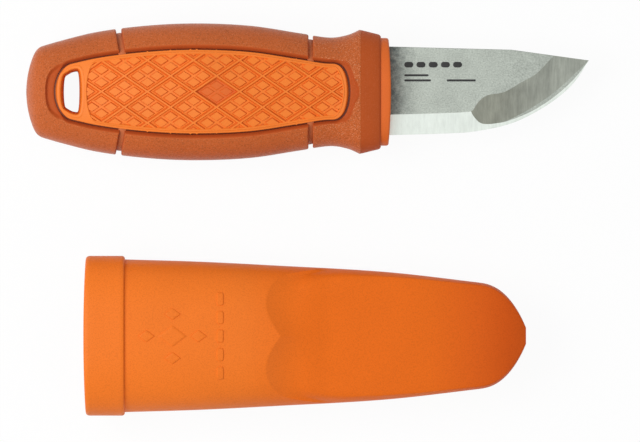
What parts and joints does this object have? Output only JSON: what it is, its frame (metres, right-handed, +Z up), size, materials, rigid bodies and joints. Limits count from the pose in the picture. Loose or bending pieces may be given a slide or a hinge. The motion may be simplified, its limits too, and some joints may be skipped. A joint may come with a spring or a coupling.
{
  "type": "sheath knife",
  "caption": "Compact fixed-blade sailor's knife with a soft grip moulded over a hard core, lying beside its moulded sheath; the knife slides across to the sheath's mouth.",
  "frame": {"origin": "under the middle of the knife and sheath as they lie side by side, on the surface they lie on", "axes": "+X along both, from the knife's butt to its tip; +Y towards the back of the blade; +Z up"},
  "size_m": [0.143, 0.0996, 0.0278],
  "materials": {
    "steel": "cross-ground stainless steel",
    "hard_core": "satin moulded polypropylene, orange",
    "soft_grip": "matte fine-grained thermoplastic rubber, burnt orange",
    "sheath_shell": "matte fine-grained polypropylene, orange"
  },
  "bodies": {
    "sheath": {"sheath": "sheath_shell"},
    "knife": {"blade": "steel", "handle_core": "hard_core", "butt_grip": "soft_grip", "upper_grip": "soft_grip", "lower_grip": "soft_grip", "guard_grip": "soft_grip"}
  },
  "joints": [
    {"name": "draw_across", "type": "slide", "parent": "sheath", "child": "knife", "axis": [-0.9611, -0.2759, 0.0129], "range_m": [0, 0.22474]}
  ]
}
